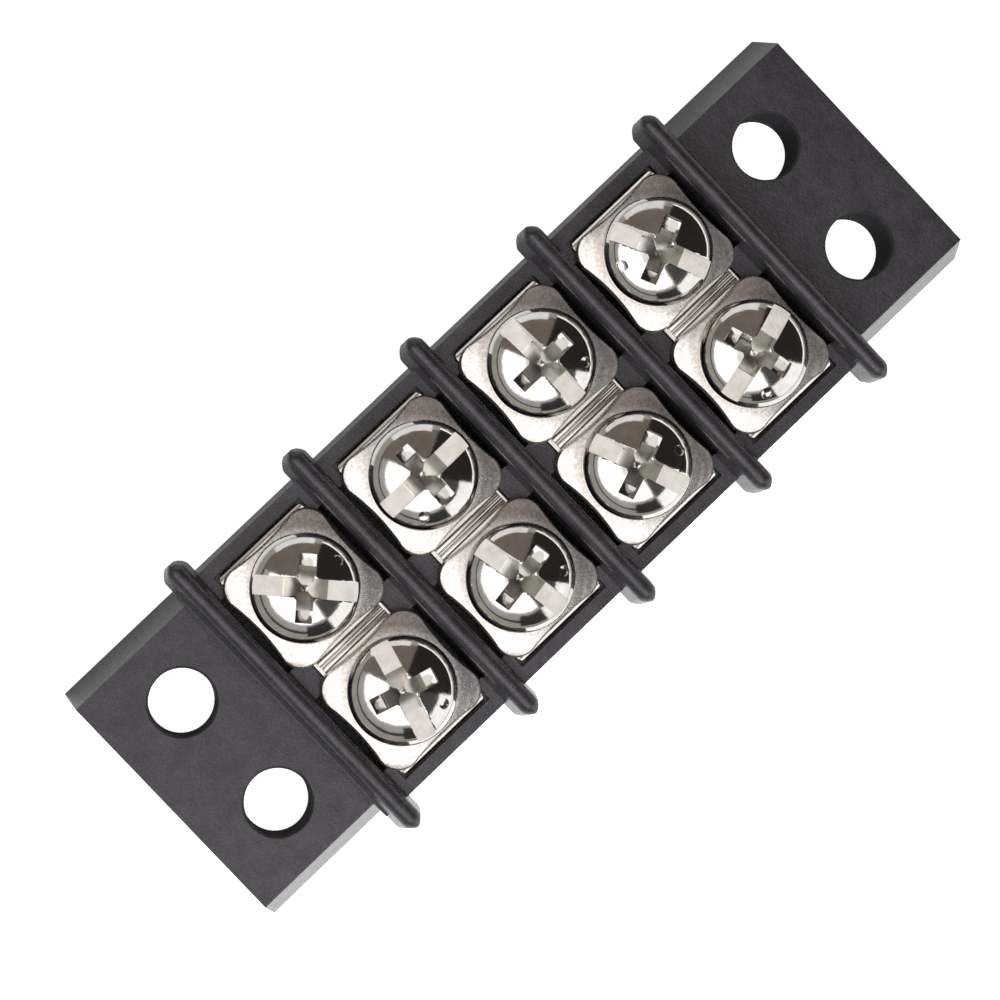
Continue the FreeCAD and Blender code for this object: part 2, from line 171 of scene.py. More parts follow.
def skin_over(name: str, rings: np.ndarray, hollow: bool = False) -> bpy.types.Object:
    """Closed skin over rings of points, extruded ring by ring from a circle.

    Args:
        name: The piece's name.
        rings: The points, as an array of rings by points by three, each ring anticlockwise from above.
        hollow: Whether the last ring joins the first one, in place of a face over each end.

    Returns:
        The new piece, at the origin.
    """
    count = rings.shape[1]
    rest_selection()
    bpy.ops.mesh.primitive_circle_add(vertices=count, radius=MM, fill_type="NGON")
    piece = bpy.context.object
    piece.name = piece.data.name = name
    with editing(piece):
        bpy.ops.mesh.select_all(action="SELECT")
        for _ in rings[1:]:
            bpy.ops.mesh.extrude_region_move(TRANSFORM_OT_translate={"value": (0, 0, MM)})
    # An extrusion may number its points in another order, so each point finds its place by its ring and
    # its turn.
    for point in piece.data.vertices:
        turn = math.atan2(point.co.y, point.co.x) - math.pi / 2
        point.co = rings[round(point.co.z / MM), round(turn / (2 * math.pi) * count) % count]
    piece.data.update()
    if hollow:
        pick_faces(piece, lambda face: len(face.vertices) == count)
        with editing(piece):
            bpy.ops.mesh.delete(type="ONLY_FACE")
            bpy.ops.mesh.select_mode(type=Pick.EDGES.value)
            bpy.ops.mesh.select_all(action="DESELECT")
            bpy.ops.mesh.select_non_manifold()
            bpy.ops.mesh.bridge_edge_loops()
    with editing(piece):
        bpy.ops.mesh.select_all(action="SELECT")
        bpy.ops.mesh.normals_make_consistent(inside=False)
    return piece


def block(low: Vector, high: Vector) -> bpy.types.Object:
    """Box cutter between two corners.

    Args:
        low: The lowest corner.
        high: The highest corner.

    Returns:
        The new box, at the origin.
    """
    rest_selection()
    bpy.ops.mesh.primitive_cube_add(size=1, location=(low + high) / 2, scale=high - low)
    piece = bpy.context.object
    settle(piece)
    return piece


def taper_face(piece: bpy.types.Object, normal: Vector, factor: Sequence[float]) -> None:
    """Scales the faces of a piece that look one way.

    Args:
        piece: The object to shape.
        normal: Where the faces look.
        factor: The scale along each axis.
    """
    pick_faces(piece, lambda face: face.normal.dot(normal) > 0.99)
    with editing(piece):
        bpy.ops.transform.resize(value=factor)


def carve(piece: bpy.types.Object, cutter: bpy.types.Object, operation: str = "DIFFERENCE") -> None:
    """Cuts a piece with another one, which is used up.

    The pieces are too small for the cut's tolerance, so both are enlarged for it.

    Args:
        piece: The object to cut.
        cutter: The object that cuts it.
        operation: The kind of boolean cut.
    """
    for part in (piece, cutter):
        part.data.transform(Matrix.Scale(1 / MM, 4))
    finish_with(piece, "BOOLEAN", object=cutter, operation=operation, solver="EXACT")
    piece.data.transform(Matrix.Scale(MM, 4))
    bpy.data.objects.remove(cutter)


def cleaned_copy(node: str, name: str) -> bpy.types.Object:
    """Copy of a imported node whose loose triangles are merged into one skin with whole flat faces.

    Args:
        node: The node's name.
        name: The new piece's name.

    Returns:
        The new piece, at the origin.
    """
    piece = bpy.data.objects.new(name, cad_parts[node].data.copy())
    bpy.context.scene.collection.objects.link(piece)
    piece.data.name = name
    take(piece)
    bpy.ops.mesh.customdata_custom_splitnormals_clear()
    with editing(piece):
        bpy.ops.mesh.select_all(action="SELECT")
        bpy.ops.mesh.remove_doubles(threshold=0.0005 * MM)
        bpy.ops.mesh.mark_sharp(clear=True)
        bpy.ops.mesh.dissolve_limited(angle_limit=math.radians(0.4), delimit={"NORMAL"})
    return piece


def repeated(original: bpy.types.Object, name: str, place: Vector, turn: float = 0.0) -> bpy.types.Object:
    """Copy of a piece with its own mesh, turned about Z and moved.

    Args:
        original: The piece to copy, modelled about the origin.
        name: The copy's name.
        place: Where its origin goes.
        turn: Its turn in radians.

    Returns:
        The copy, at the origin.
    """
    copy = bpy.data.objects.new(name, original.data.copy())
    copy.data.name = name
    bpy.context.scene.collection.objects.link(copy)
    copy.location = place
    copy.rotation_euler.z = turn
    settle(copy)
    return copy


def hand_over(piece: bpy.types.Object, node: str, body: str) -> None:
    """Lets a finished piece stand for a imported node.

    Args:
        piece: The finished piece.
        node: The node that it stands for.
        body: The body that it rides on.
    """
    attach(piece, body)
    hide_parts(node)
    log.info("%s stands for %s: %d faces", piece.name, node, len(piece.data.polygons))


# Finishes


@dataclass(frozen=True)
class DullSpots:
    """Round places with a duller surface, in both rows and evenly along the strip.

    They stand at half a pitch, one and a half and so on, and reach down from their top.
    """

    pitch: float
    row: float
    reach: float
    top: float
    roughness: float


HOLE_WALLS = DullSpots(pitch=47.9 * MM, row=4.075 * MM, reach=2.1 * MM, top=6.0 * MM, roughness=0.9)
SOCKET_WALLS = DullSpots(pitch=9.5 * MM, row=4.1 * MM, reach=1.9 * MM, top=9.53 * MM, roughness=0.20)


class Recipe:
    """Node tree of one material."""

    def __init__(self, name: str) -> None:
        """Starts an empty material.

        Args:
            name: The material's name.
        """
        self.material = bpy.data.materials.new(name)
        self.material.use_nodes = True
        self.tree = self.material.node_tree
        self.tree.nodes.clear()
        self.place = self.node("TexCoord").outputs["Object"]

    def node(self, kind: str, inputs: dict[str, object] | None = None, **settings: object) -> bpy.types.Node:
        """Adds a shader node.

        Args:
            kind: The node's type without its prefix.
            inputs: What goes into its sockets: values, or sockets to link from.
            settings: The node's own settings.

        Returns:
            The new node.
        """
        made = self.tree.nodes.new("ShaderNode" + kind)
        for name, value in settings.items():
            setattr(made, name, value)
        for name, value in (inputs or {}).items():
            if isinstance(value, bpy.types.NodeSocket):
                self.tree.links.new(value, made.inputs[name])
            else:
                made.inputs[name].default_value = value
        return made

    def noise(self, size: float, detail: float = 3.0, roughness: float = 0.55) -> bpy.types.NodeSocket:
        """Cloudy pattern whose lumps have a real size.

        Args:
            size: The size of a lump.
            detail: How many finer layers it has.
            roughness: How strong the finer layers are.

        Returns:
            The pattern, about 0.5 on average.
        """
        inputs = {"Vector": self.place, "Scale": 1 / size, "Detail": detail, "Roughness": roughness}
        return self.node("TexNoise", inputs).outputs["Fac"]

    def between(self, pattern: bpy.types.NodeSocket, low: float, high: float, start: float = 0.3,
                end: float = 0.7) -> bpy.types.NodeSocket:
        """Stretches a pattern to a range.

        Args:
            pattern: The pattern.
            low: The result at the pattern's start.
            high: The result at the pattern's end.
            start: Where the pattern starts.
            end: Where the pattern ends.

        Returns:
            The stretched pattern.
        """
        inputs = {"Value": pattern, "From Min": start, "From Max": end, "To Min": low, "To Max": high}
        return self.node("MapRange", inputs).outputs["Result"]

    def tint(self, pattern: bpy.types.NodeSocket, low: Sequence[float],
             high: Sequence[float]) -> bpy.types.NodeSocket:
        """Colour that goes from one to another with a pattern.

        Args:
            pattern: The pattern, from 0 to 1.
            low: The colour at 0.
            high: The colour at 1.

        Returns:
            The colour.
        """
        mix = self.node("Mix", data_type="RGBA")
        self.tree.links.new(pattern, mix.inputs[0])
        mix.inputs[6].default_value = (*low, 1)
        mix.inputs[7].default_value = (*high, 1)
        return mix.outputs[2]

    def bump(self, pattern: bpy.types.NodeSocket, depth: float,
             under: bpy.types.NodeSocket | None = None) -> bpy.types.NodeSocket:
        """Relief of a pattern.

        Args:
            pattern: The pattern, from 0 to 1.
            depth: Its depth.
            under: The relief that it lies on.

        Returns:
            The surface's direction.
        """
        inputs: dict[str, object] = {"Height": pattern, "Distance": depth}
        if under is not None:
            inputs["Normal"] = under
        return self.node("Bump", inputs).outputs["Normal"]

    def dulled(self, roughness: bpy.types.NodeSocket, spots: DullSpots) -> bpy.types.NodeSocket:
        """Roughness that has its own value in round places.

        Args:
            roughness: The roughness elsewhere.
            spots: The round places.

        Returns:
            The roughness all over.
        """
        parts = self.node("SeparateXYZ", {0: self.place}).outputs
        along = self.node("Math", {0: parts["X"], 1: spots.pitch, 2: 0.0}, operation="WRAP").outputs[0]
        across = self.node("Math", {0: parts["Y"]}, operation="ABSOLUTE").outputs[0]
        flat = self.node("CombineXYZ", {"X": along, "Y": across}).outputs[0]
        middle = (spots.pitch / 2, spots.row, 0)
        away = self.node("VectorMath", {0: flat, 1: middle}, operation="DISTANCE").outputs["Value"]
        near = self.node("Math", {0: away, 1: spots.reach}, operation="LESS_THAN").outputs[0]
        low = self.node("Math", {0: parts["Z"], 1: spots.top}, operation="LESS_THAN").outputs[0]
        inside = self.node("Math", {0: near, 1: low}, operation="MULTIPLY").outputs[0]
        mix = self.node("Mix", {0: inside, 2: roughness, 3: spots.roughness}, data_type="FLOAT")
        return mix.outputs[0]

    def surface(self, inputs: dict[str, object]) -> bpy.types.Material:
        """Ends the material in one principled surface.

        Args:
            inputs: What goes into its sockets.

        Returns:
            The finished material.
        """
        shader = self.node("BsdfPrincipled", inputs)
        self.node("OutputMaterial", {"Surface": shader.outputs["BSDF"]})
        return self.material


@dataclass(frozen=True)
class MouldedFinish:
    """Black thermoset moulding: satin, finely grained and a little cloudy."""

    name: str = "black_moulding"
    deep: tuple[float, float, float] = (0.0085, 0.0077, 0.0092)
    pale: tuple[float, float, float] = (0.0170, 0.0154, 0.0180)
    gloss: tuple[float, float, float] = (0.98, 0.955, 1.0)
    ior: float = 1.58
    roughness: tuple[float, float] = (0.16, 0.34)
    cloud_size: float = 1.6 * MM
    cloud_layers: float = 8.0
    cloud_sharpness: float = 0.85
    cloud_span: tuple[float, float] = (0.4, 0.6)
    grain_size: float = 0.15 * MM
    grain_layers: float = 3.0
    grain_sharpness: float = 0.7
    grain_depth: float = 0.018 * MM
    flow_size: float = 1.1 * MM
    flow_layers: float = 2.0
    flow_depth: float = 0.020 * MM
    holes: DullSpots = HOLE_WALLS

    def material(self) -> bpy.types.Material:
        """Makes the material.

        Returns:
            The finished material.
        """
        recipe = Recipe(self.name)
        clouds = recipe.noise(self.cloud_size, self.cloud_layers, self.cloud_sharpness)
        grain = recipe.noise(self.grain_size, self.grain_layers, self.grain_sharpness)
        flow = recipe.noise(self.flow_size, self.flow_layers)
        colour = recipe.tint(recipe.between(clouds, 0.0, 1.0, *self.cloud_span), self.deep, self.pale)
        relief = recipe.bump(grain, self.grain_depth, recipe.bump(flow, self.flow_depth))
        return recipe.surface({
            "Base Color": colour,
            "Roughness": recipe.dulled(recipe.between(grain, *self.roughness), self.holes),
            "IOR": self.ior,
            "Specular Tint": (*self.gloss, 1),
            "Normal": relief,
        })


@dataclass(frozen=True)
class NickelFinish:
    """Bright nickel plate, as smooth as the metal under it."""

    name: str
    pale: tuple[float, float, float] = (0.72, 0.70, 0.67)
    warm: tuple[float, float, float] = (0.60, 0.56, 0.52)
    tint_size: float = 0.9 * MM
    metallic: float = 1.0
    roughness: tuple[float, float] = (0.06, 0.11)
    grain_size: float = 0.10 * MM
    grain_layers: float = 3.0
    grain_sharpness: float = 0.6
    grain_depth: float = 0.0010 * MM
    dent_size: float = 0.7 * MM
    dent_layers: float = 2.0
    dent_depth: float = 0.004 * MM
    dull: DullSpots | None = None

    def material(self) -> bpy.types.Material:
        """Makes the material.

        Returns:
            The finished material.
        """
        recipe = Recipe(self.name)
        grain = recipe.noise(self.grain_size, self.grain_layers, self.grain_sharpness)
        dents = recipe.noise(self.dent_size, self.dent_layers)
        colour = recipe.tint(recipe.between(recipe.noise(self.tint_size), 0.0, 1.0), self.pale, self.warm)
        relief = recipe.bump(grain, self.grain_depth, recipe.bump(dents, self.dent_depth))
        roughness = recipe.between(grain, *self.roughness)
        if self.dull is not None:
            roughness = recipe.dulled(roughness, self.dull)
        return recipe.surface({
            "Base Color": colour,
            "Metallic": self.metallic,
            "Roughness": roughness,
            "Normal": relief,
        })


HEAD_NICKEL = NickelFinish("screw_nickel", dull=SOCKET_WALLS)
WASHER_NICKEL = NickelFinish(
    "washer_nickel",
    pale=(0.89, 0.855, 0.82),
    warm=(0.62, 0.55, 0.50),
    tint_size=0.22 * MM,
    metallic=0.95,
    roughness=(0.22, 0.32),
    grain_size=0.14 * MM,
    grain_depth=0.0018 * MM,
    dent_size=0.5 * MM,
)
PLATE_NICKEL = NickelFinish(
    "plate_nickel",
    pale=(0.88, 0.85, 0.81),
    warm=(0.72, 0.68, 0.63),
    roughness=(0.14, 0.26),
    dent_depth=0.001 * MM,
)


# Pieces


@dataclass
class Moulding:
    """The black moulding, with its edges softened as they leave the mould."""

    edge: float = 0.10 * MM
    edge_steps: int = 2
    edge_angle: float = 34.0
    pitch: float = 9.5 * MM
    tip_half: float = 0.9 * MM
    tip_break: float = 0.45 * MM
    tip_reach: float = 0.75 * MM
    tip_fullness: float = 0.93
    tip_shoulder: float = 8.0 * MM
    tip_slices: int = 6
    finish: MouldedFinish = field(default_factory=MouldedFinish)

    def build(self) -> None:
        """Makes the moulding and hands it over."""
        piece = cleaned_copy("moulded_base", "strip_moulding")
        self.round_tips(piece)
        finish_with(piece, "BEVEL", width=self.edge, segments=self.edge_steps, limit_method="ANGLE",
                    angle_limit=math.radians(self.edge_angle), use_clamp_overlap=True,
                    miter_outer="MITER_ARC")
        smooth(piece)
        piece.data.materials.clear()
        piece.data.materials.append(self.finish.material())
        hand_over(piece, "moulded_base", "root")

    def round_tips(self, piece: bpy.types.Object) -> None:
        """Rounds the broken ends of the tabs in slices, so that each ends like a thumb.

        Args:
            piece: The moulding.
        """
        mesh = piece.data
        reach = max(abs(point.co.y) for point in mesh.vertices)
        crest = max(point.co.z for point in mesh.vertices)
        start = reach - self.tip_reach
        with editing(piece):
            for step in range(self.tip_slices):
                level = start + self.tip_reach * math.sin(step / self.tip_slices * math.pi / 2)
                for side in (-level, level):
                    bpy.ops.mesh.select_all(action="SELECT")
                    bpy.ops.mesh.bisect(plane_co=(0, side, 0), plane_no=(0, 1, 0))
        for point in mesh.vertices:
            run = (abs(point.co.y) - start) / self.tip_reach
            if run <= 0:
                continue
            left = math.sqrt(1 - (run * self.tip_fullness) ** 2)
            broken = max(0.0, abs(point.co.y) - reach + self.tip_break)
            middle = round(point.co.x / self.pitch) * self.pitch
            point.co.x = middle + (point.co.x - middle) * self.tip_half * left / (self.tip_half - broken)
            if point.co.z > self.tip_shoulder:
                top = crest - self.tip_shoulder
                rounded = top - self.tip_reach * (1 - left)
                point.co.z = self.tip_shoulder + (point.co.z - self.tip_shoulder) * rounded / (top - broken)
        mesh.update()


@dataclass
class TerminalPlate:
    """A terminal plate with stamped edges and rounded corners."""

    corner: float = 0.7 * MM
    corner_steps: int = 4
    edge: float = 0.05 * MM
    edge_steps: int = 2
    edge_angle: float = 34.0
    finish: NickelFinish = PLATE_NICKEL

    def build(self) -> None:
        """Makes the plates and hands them over."""
        material = self.finish.material()
        for pole in range(1, POLES + 1):
            node = "terminal_plate_%d" % pole
            piece = cleaned_copy(node, "nickel_plate_%d" % pole)
            self.round_corners(piece)
            finish_with(piece, "BEVEL", width=self.edge, segments=self.edge_steps, limit_method="ANGLE",
                        angle_limit=math.radians(self.edge_angle))
            smooth(piece)
            piece.data.materials.clear()
            piece.data.materials.append(material)
            hand_over(piece, node, "root")

    def round_corners(self, piece: bpy.types.Object) -> None:
        """Rounds the four corners of a plate.

        Args:
            piece: The plate.
        """
        mesh = piece.data
        points = np.array([point.co for point in mesh.vertices])
        middle = (points.min(axis=0) + points.max(axis=0)) / 2
        reach = np.abs(points - middle).max(axis=0)
        at_corner = (np.abs(np.abs(points - middle) - reach)[:, :2] < self.edge).all(axis=1)
        pick_faces(piece, lambda face: False)
        for edge in mesh.edges:
            edge.select = all(at_corner[index] for index in edge.vertices)
        with editing(piece, Pick.EDGES):
            bpy.ops.mesh.bevel(offset=self.corner, segments=self.corner_steps, affect="EDGES",
                               clamp_overlap=True)


@dataclass
class Washer:
    """A square washer whose corners are bent down on to the wire."""

    corner: float = 1.4 * MM
    waist: float = 0.2 * MM
    thickness: float = 0.8 * MM
    rise: float = 0.3 * MM
    flat_radius: float = 2.7 * MM
    bend: float = 5.0 * MM
    bore_radius: float = 1.55 * MM
    edge: float = 0.12 * MM
    groove_radius: float = 4.05 * MM
    groove_width: float = 0.16 * MM
    groove_depth: float = 0.02 * MM
    steps: int = 144
    side_steps: int = 40
    face_steps: int = 25
    rim_shares: tuple[float, ...] = (0.12, 0.3, 0.5, 0.7, 0.88)
    smooth_angle: float = 40.0
    finish: NickelFinish = WASHER_NICKEL

    def outline(self, half: Vector, inset: float) -> np.ndarray:
        """Points of the washer's outline, one for each step of the turn.

        Args:
            half: Half the washer's width and depth.
            inset: How far the outline is drawn in.

        Returns:
            The points, as an array of steps by two.
        """
        x, y, corner = half.x - inset, half.y - inset, self.corner - inset
        flat_x, flat_y = half.x - self.corner, half.y - self.corner
        drawn = []
        for quarter in range(4):
            along, out = (flat_x, y) if quarter % 2 else (flat_y, x)
            share = np.linspace(-1, 1, self.side_steps, endpoint=False)
            side = np.stack([out - self.waist * (1 - share ** 2), share * along], axis=1)
            swing = np.linspace(0, math.pi / 2, self.side_steps, endpoint=False)
            bend = np.stack([out - corner + corner * np.cos(swing), along + corner * np.sin(swing)], axis=1)
            turn = quarter * math.pi / 2
            rotation = np.array([[math.cos(turn), math.sin(turn)], [-math.sin(turn), math.cos(turn)]])
            drawn.append(np.concatenate([side, bend]) @ rotation)
        points = np.concatenate(drawn)
        angles = np.unwrap(np.arctan2(points[:, 1], points[:, 0]))
        reach = np.hypot(points[:, 0], points[:, 1])
        wanted = np.linspace(angles[0], angles[0] + 2 * math.pi, self.steps, endpoint=False)
        reach = np.interp(wanted, np.append(angles, angles[0] + 2 * math.pi), np.append(reach, reach[0]))
        return np.stack([reach * np.cos(wanted), reach * np.sin(wanted)], axis=1)

    def top(self, reach: np.ndarray) -> np.ndarray:
        """Height of the upper face, with its pressed groove.

        Args:
            reach: Distances from the axis.

        Returns:
            The heights there.
        """
        run = np.clip(reach - self.flat_radius, 0, None)
        level = self.rise + self.thickness - self.bend + np.sqrt(self.bend ** 2 - run ** 2)
        groove = np.exp(-((reach - self.groove_radius) / self.groove_width) ** 2)
        return level - self.groove_depth * groove

    def under(self, reach: np.ndarray) -> np.ndarray:
        """Height of the lower face.

        Args:
            reach: Distances from the axis.

        Returns:
            The heights there.
        """
        bend = self.bend - self.thickness
        run = np.clip(reach - self.flat_radius, 0, bend)
        return np.clip(self.rise - bend + np.sqrt(bend ** 2 - run ** 2), 0, None)

    def model(self, half: Vector) -> bpy.types.Object:
        """Models one washer about the origin.

        Args:
            half: Half the washer's width and depth.

        Returns:
            The washer.
        """
        edge = self.outline(half, 0)
        inner = self.outline(half, self.edge)
        angles = np.arctan2(inner[:, 1], inner[:, 0])
        round_hole = np.stack([np.cos(angles), np.sin(angles)], axis=1)

        def ring(share: float, height: Callable[[np.ndarray], np.ndarray]) -> np.ndarray:
            """Ring on one of the faces.

            Args:
                share: Where it is, from the bore at 0 to the outline at 1.
                height: Gives the face's height.

            Returns:
                The ring's points.
            """
            flat = round_hole * self.bore_radius * (1 - share) + inner * share
            return np.column_stack([flat, height(np.hypot(flat[:, 0], flat[:, 1]))])

        def rim(share: float) -> np.ndarray:
            """Ring round the edge.

            Args:
                share: Where it is, between the lower face at 0 and the upper face at 1.

            Returns:
                The ring's points.
            """
            reach = np.hypot(inner[:, 0], inner[:, 1])
            low, high = self.under(reach), self.top(reach)
            bulge = math.sin(share * math.pi)
            flat = inner * (1 - bulge) + edge * bulge
            soft = self.edge * (1 - bulge)
            return np.column_stack([flat, low + soft + (high - low - 2 * soft) * share])

        shares = np.linspace(0, 1, self.face_steps)
        rings = [ring(share, self.under) for share in shares]
        rings += [rim(share) for share in self.rim_shares]
        rings += [ring(share, self.top) for share in shares[::-1]]
        return skin_over("washer_pattern", np.array(rings), hollow=True)

    def build(self) -> None:
        """Makes the washers and hands them over."""
        low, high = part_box("washer_rear_1")
        pattern = self.model((high - low) / 2)
        smooth(pattern, self.smooth_angle)
        pattern.data.materials.append(self.finish.material())
        for row in Row:
            for pole in range(1, POLES + 1):
                node = "washer_%s_%d" % (row.value, pole)
                low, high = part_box(node)
                place = Vector(((low.x + high.x) / 2, (low.y + high.y) / 2, low.z))
                hand_over(repeated(pattern, "square_%s" % node, place), node, node)
        bpy.data.objects.remove(pattern)


@dataclass
class Screw:
    """A pan-head screw with a straight slot, a cross recess, a round mark and a rolled thread."""

    neck_radius: float = 1.4 * MM
    neck_length: float = 1.2 * MM
    neck_step: float = 0.1 * MM
    thread_radius: float = 1.7 * MM
    thread_pitch: float = 0.6 * MM
    thread_depth: float = 0.30 * MM
    thread_slices: int = 8
    thread_flank: float = 1.25
    thread_root: float = 0.1
    point: float = 0.5 * MM
    head_height: float = 2.2 * MM
    rim: float = 0.6 * MM
    rim_break: float = 0.6
    shoulder: float = 1.1 * MM
    shoulder_steps: int = 12
    crown_steps: int = 15
    crown_middle: float = 0.02 * MM
    lip: float = 0.10 * MM
    lip_steps: int = 3
    slot_width: float = 1.15 * MM
    slot_depth: float = 1.0 * MM
    cross_width: float = 1.05 * MM
    cross_span: float = 4.2 * MM
    cross_taper: tuple[float, float] = (0.90, 0.95)
    web_reach: float = 1.24 * MM
    web_floor: float = 0.25 * MM
    socket_mouth: float = 2.6 * MM
    socket_tip: float = 0.4 * MM
    socket_depth: float = 0.9 * MM
    socket_cross: float = 0.92
    socket_overlap: float = 0.02 * MM
    mark_radius: float = 2.45 * MM
    mark_size: float = 0.32 * MM
    mark_steps: int = 32
    mark_depth: float = 0.25 * MM
    mark_drop: float = 0.55 * MM
    mark_lean: float = 24.0
    clear: float = 1.0 * MM
    edge: float = 0.07 * MM
    edge_steps: int = 2
    edge_angle: float = 40.0
    smooth_angle: float = 35.0
    steps: int = 96
    turns: dict[Row, tuple[float, ...]] = field(default_factory=lambda: {
        Row.REAR: (-48, 180, -89, 114), Row.FRONT: (-106, -80, -69, -165)})
    finish: NickelFinish = HEAD_NICKEL

    def head_line(self, radius: float, height: float) -> list[tuple[float, float]]:
        """Outline of the head from its underside to its crown.

        Args:
            radius: The head's radius.
            height: The head's height.

        Returns:
            The outline's points, as distances from the axis and heights.
        """
        rise = height - self.rim
        hub = radius - self.shoulder
        crown = (hub ** 2 + rise ** 2 - self.shoulder ** 2) / (2 * (rise - self.shoulder))
        meet = math.asin(hub / (crown - self.shoulder))
        line = [(self.neck_radius, 0.0), (radius - self.lip, 0.0)]
        for step in range(1, self.lip_steps + 1):
            swing = step / self.lip_steps * math.pi / 2
            reach = radius - self.lip + self.lip * math.sin(swing)
            line.append((reach, self.lip - self.lip * math.cos(swing)))
        line.append((radius, self.rim * self.rim_break))
        for step in range(self.shoulder_steps + 1):
            swing = step / self.shoulder_steps * (math.pi / 2 - meet)
            reach = hub + self.shoulder * math.cos(swing)
            line.append((reach, self.rim + self.shoulder * math.sin(swing)))
        for step in range(1, self.crown_steps):
            swing = meet * (1 - step / self.crown_steps)
            line.append((crown * math.sin(swing), height - crown + crown * math.cos(swing)))
        line.append((self.crown_middle, height))
        return line

    def shank_rings(self, length: float) -> list[np.ndarray]:
        """Rings of the shank from its point up to the plain neck.

        Args:
            length: The shank's length under the head.

        Returns:
            The rings, each an array of points.
        """
        turn = np.linspace(0, 2 * math.pi, self.steps, endpoint=False)
        tip = self.thread_radius - self.point
        root = self.thread_radius - self.thread_depth
        levels = np.arange(-length, -self.neck_length, self.thread_pitch / self.thread_slices)
        rings = []
        for level in levels:
            wave = np.abs(((level / self.thread_pitch - turn / (2 * math.pi)) % 1.0) * 2 - 1)
            crest = np.clip(wave * self.thread_flank - self.thread_root, 0, 1)
            fade = min(1.0, (-self.neck_length - level) / self.thread_pitch)
            reach = np.minimum(root + self.thread_depth * crest * max(fade, 0.0), tip + (level + length))
            rings.append(self.ring(reach, level))
        return rings

    def ring(self, reach: np.ndarray | float, level: float) -> np.ndarray:
        """Ring of points round the axis.

        Args:
            reach: The distance from the axis, one for all or one for each point.
            level: The height.

        Returns:
            The points.
        """
        turn = np.linspace(0, 2 * math.pi, self.steps, endpoint=False)
        return np.column_stack([reach * np.cos(turn), reach * np.sin(turn), np.full_like(turn, level)])

    def cutters(self, radius: float, height: float) -> list[bpy.types.Object]:
        """Cutters of the slot, the cross, its broken corners and the tapered socket.

        Args:
            radius: The head's radius.
            height: The head's height.

        Returns:
            The cutters, in the order in which they cut.
        """
        floor, above = height - self.slot_depth, height + self.clear
        down = Vector((0, 0, -1))
        reach, half = radius + self.clear, self.slot_width / 2
        slot = block(Vector((-reach, -half, floor)), Vector((reach, half, above)))
        half, span = self.cross_width / 2, self.cross_span / 2
        cross = block(Vector((-half, -span, floor)), Vector((half, span, above)))
        taper_face(cross, down, (*self.cross_taper, 1))
        side = self.web_reach / math.sqrt(2)
        web = block(Vector((-side, -side, floor + self.web_floor)), Vector((side, side, above)))
        web.rotation_euler.z = math.pi / 4
        settle(web)
        cut = [slot, cross, web]
        mouth = self.socket_mouth / 2
        taper = self.socket_tip / self.socket_mouth
        for along, half in enumerate((self.slot_width / 2, self.cross_width / 2 * self.socket_cross)):
            socket = block(Vector((-mouth, -mouth, floor - self.socket_depth)), Vector((mouth, mouth, floor)))
            taper_face(socket, down, (taper, taper, 1))
            far = Vector((half, half, floor + self.socket_overlap))
            far[along] = 2 * self.socket_mouth
            near = Vector((-far.x, -far.y, floor - 2 * self.clear))
            carve(socket, block(near, far), "INTERSECT")
            cut.append(socket)
        return cut

    def ring_mark(self, height: float) -> bpy.types.Object:
        """Cutter of the small round mark on the crown, square to the crown.

        Args:
            height: The head's height.

        Returns:
            The cutter.
        """
        rest_selection()
        bpy.ops.mesh.primitive_cylinder_add(vertices=self.mark_steps, radius=self.mark_size,
                                            depth=2 * self.mark_depth)
        mark = bpy.context.object
        outward, lean = Vector((math.sqrt(0.5), math.sqrt(0.5), 0)), math.radians(self.mark_lean)
        axis = outward * math.sin(lean) + Vector((0, 0, math.cos(lean)))
        mark.location = outward * self.mark_radius + Vector((0, 0, height - self.mark_drop))
        mark.rotation_euler = axis.to_track_quat("Z", "Y").to_euler()
        settle(mark)
        return mark

    def model(self, radius: float, height: float, length: float) -> bpy.types.Object:
        """Models one screw with the underside of its head at the origin.

        Args:
            radius: The head's radius.
            height: The head's height.
            length: The shank's length.

        Returns:
            The screw.
        """
        rings = self.shank_rings(length)
        rings.append(self.ring(self.neck_radius, -self.neck_length + self.neck_step))
        rings += [self.ring(reach, level) for reach, level in self.head_line(radius, height)]
        piece = skin_over("screw_pattern", np.array(rings))
        for cutter in (*self.cutters(radius, height), self.ring_mark(height)):
            carve(piece, cutter)
        with editing(piece):
            bpy.ops.mesh.select_all(action="SELECT")
            bpy.ops.mesh.remove_doubles(threshold=0.001 * MM)
            bpy.ops.mesh.dissolve_limited(angle_limit=math.radians(0.5), delimit={"NORMAL"})
        finish_with(piece, "BEVEL", width=self.edge, segments=self.edge_steps, limit_method="ANGLE",
                    angle_limit=math.radians(self.edge_angle), use_clamp_overlap=True)
        smooth(piece, self.smooth_angle)
        return piece

    def build(self) -> None:
        """Makes the screws and hands them over."""
        low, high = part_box("screw_rear_1")
        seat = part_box("washer_rear_1")[1].z
        pattern = self.model((high.x - low.x) / 2, self.head_height, seat - low.z)
        pattern.data.materials.append(self.finish.material())
        for row in Row:
            for pole in range(1, POLES + 1):
                node = "screw_%s_%d" % (row.value, pole)
                low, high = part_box(node)
                place = Vector(((low.x + high.x) / 2, (low.y + high.y) / 2, seat))
                turn = math.radians(self.turns[row][pole - 1])
                piece = repeated(pattern, "combination_%s" % node, place, turn)
                hand_over(piece, node, node)
        bpy.data.objects.remove(pattern)


# Studio


